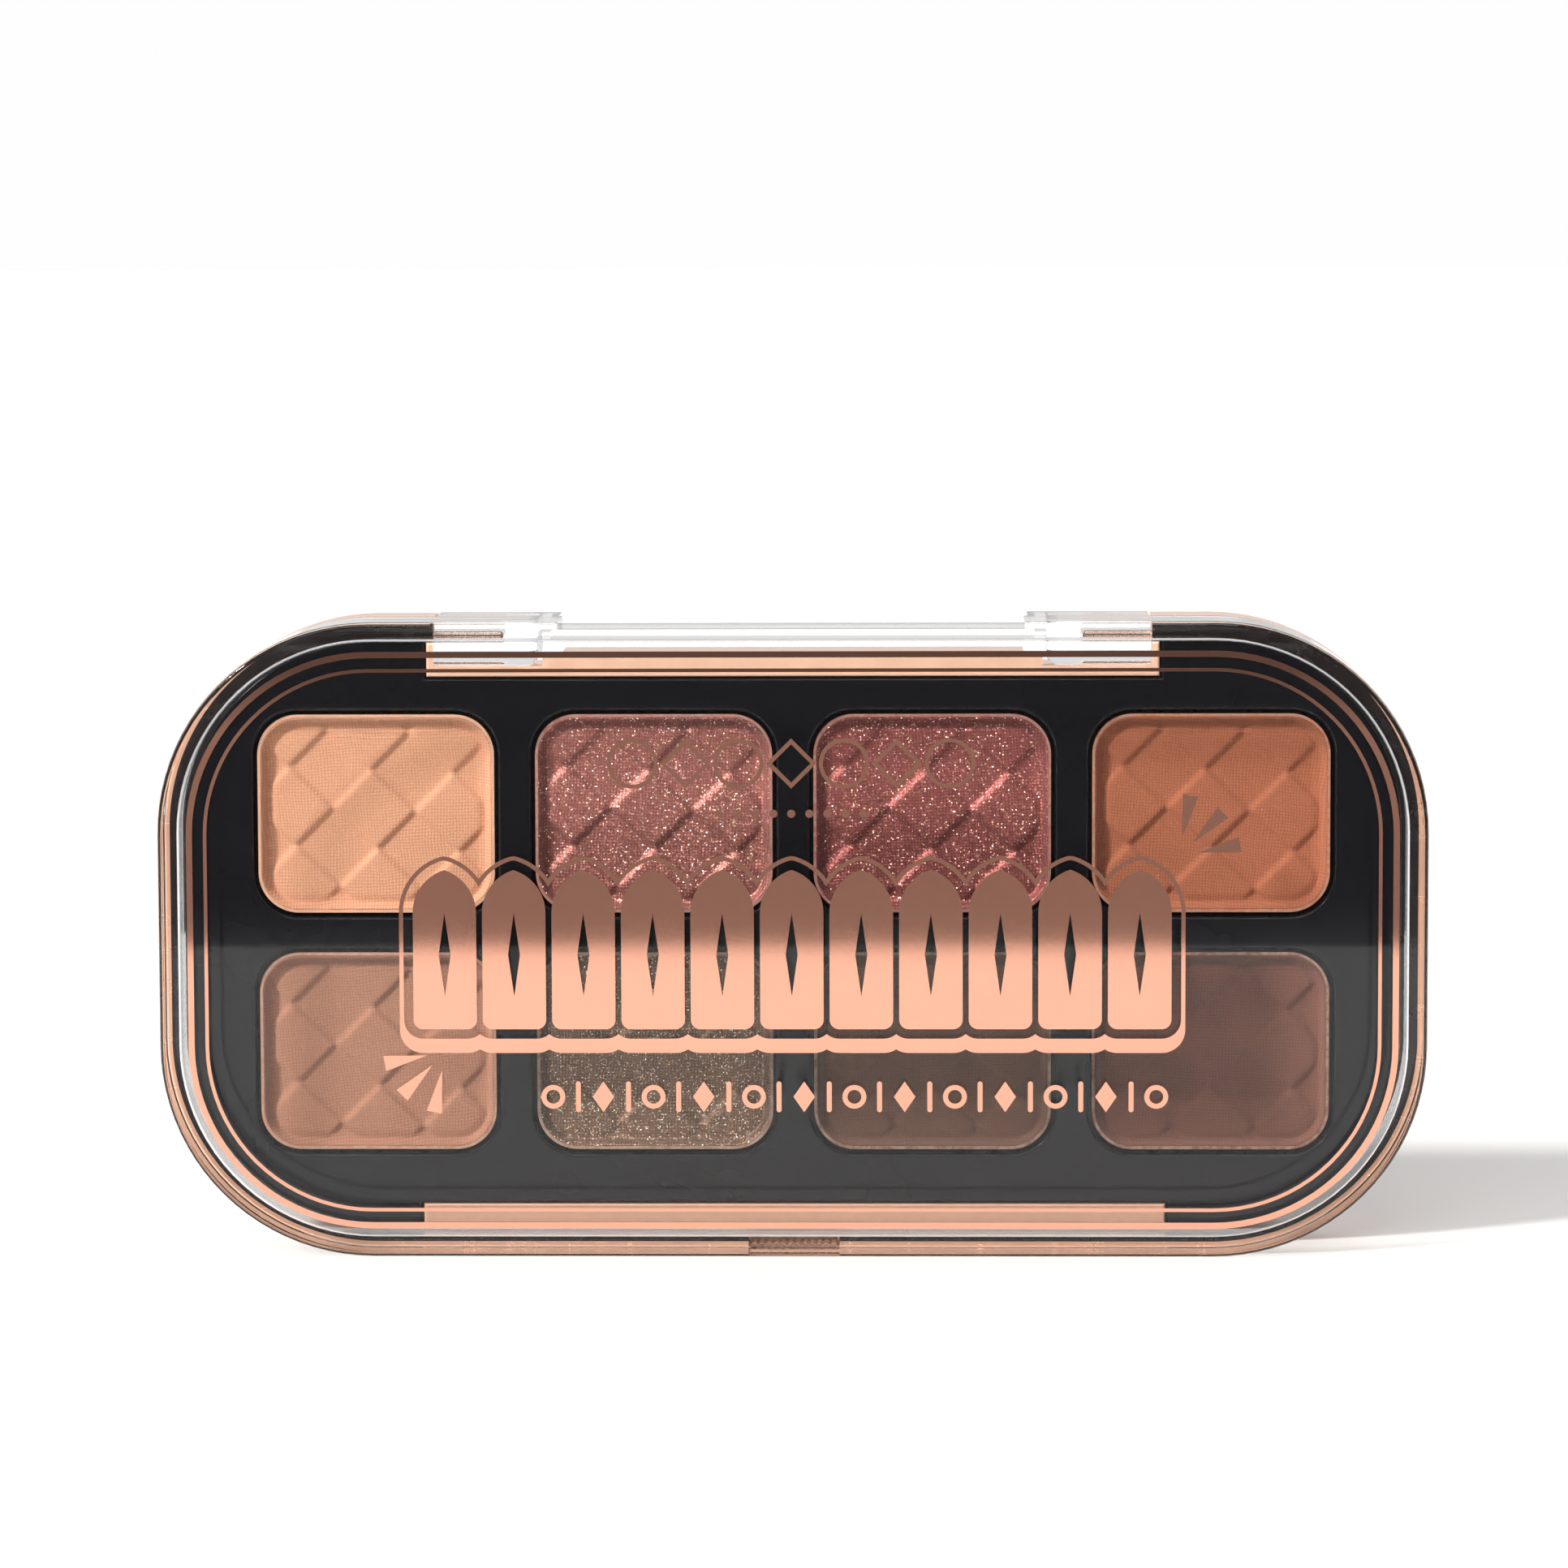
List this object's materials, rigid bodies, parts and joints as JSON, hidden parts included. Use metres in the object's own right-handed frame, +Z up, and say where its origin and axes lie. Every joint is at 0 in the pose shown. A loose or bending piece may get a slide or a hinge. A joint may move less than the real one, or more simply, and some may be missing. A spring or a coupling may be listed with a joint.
{
  "type": "eyeshadow palette",
  "caption": "Flat rounded make-up compact that stands on its long edge: clear hinged lid with foil print over a black insert of pressed-powder pans in a rose-gold base.",
  "frame": {"origin": "middle of the long edge that the closed compact stands on, at mid thickness", "axes": "+X along the length, +Y from the clear lid towards the underside of the base, +Z up towards the hinge edge"},
  "size_m": [0.106, 0.0126, 0.0534],
  "materials": {
    "rose_gold_plastic": "metallised gloss",
    "black_plastic": "satin",
    "clear_plastic": "gloss",
    "rose_gold_foil": "hot-stamped metallic film",
    "tinplate": "satin",
    "pin_steel": "polished",
    "hot_melt_glue": "satin",
    "label_paper": "matte",
    "powder_peach": "pressed powder",
    "powder_mauve_shimmer": "pressed powder",
    "powder_rose_shimmer": "pressed powder",
    "powder_rust": "pressed powder",
    "powder_tan_brown": "pressed powder",
    "powder_taupe_glitter": "pressed powder",
    "powder_taupe": "pressed powder",
    "powder_dark_brown": "pressed powder"
  },
  "bodies": {
    "base": {"base_shell": "rose_gold_plastic", "insert_tray": "black_plastic", "pan_1": "tinplate", "pan_2": "tinplate", "pan_3": "tinplate", "pan_4": "tinplate", "pan_5": "tinplate", "pan_6": "tinplate", "pan_7": "tinplate", "pan_8": "tinplate", "powder_1": "powder_peach", "powder_2": "powder_mauve_shimmer", "powder_3": "powder_rose_shimmer", "powder_4": "powder_rust", "powder_5": "powder_tan_brown", "powder_6": "powder_taupe_glitter", "powder_7": "powder_taupe", "powder_8": "powder_dark_brown", "pan_glue_dots": "hot_melt_glue", "hinge_pin_left": "pin_steel", "hinge_pin_right": "pin_steel", "underside_label": "label_paper"},
    "lid": {"lid_shell": "clear_plastic", "foil_border_wide": "rose_gold_foil", "foil_border_thin": "rose_gold_foil", "foil_frieze": "rose_gold_foil", "foil_emblem": "rose_gold_foil", "foil_strip": "rose_gold_foil", "foil_rays": "rose_gold_foil"}
  },
  "joints": [
    {"name": "lid_hinge", "type": "hinge", "parent": "base", "child": "lid", "pos_m": [0, 0.0043, 0.0518], "axis": [-1, 0, 0], "range_deg": [0, 180]}
  ]
}
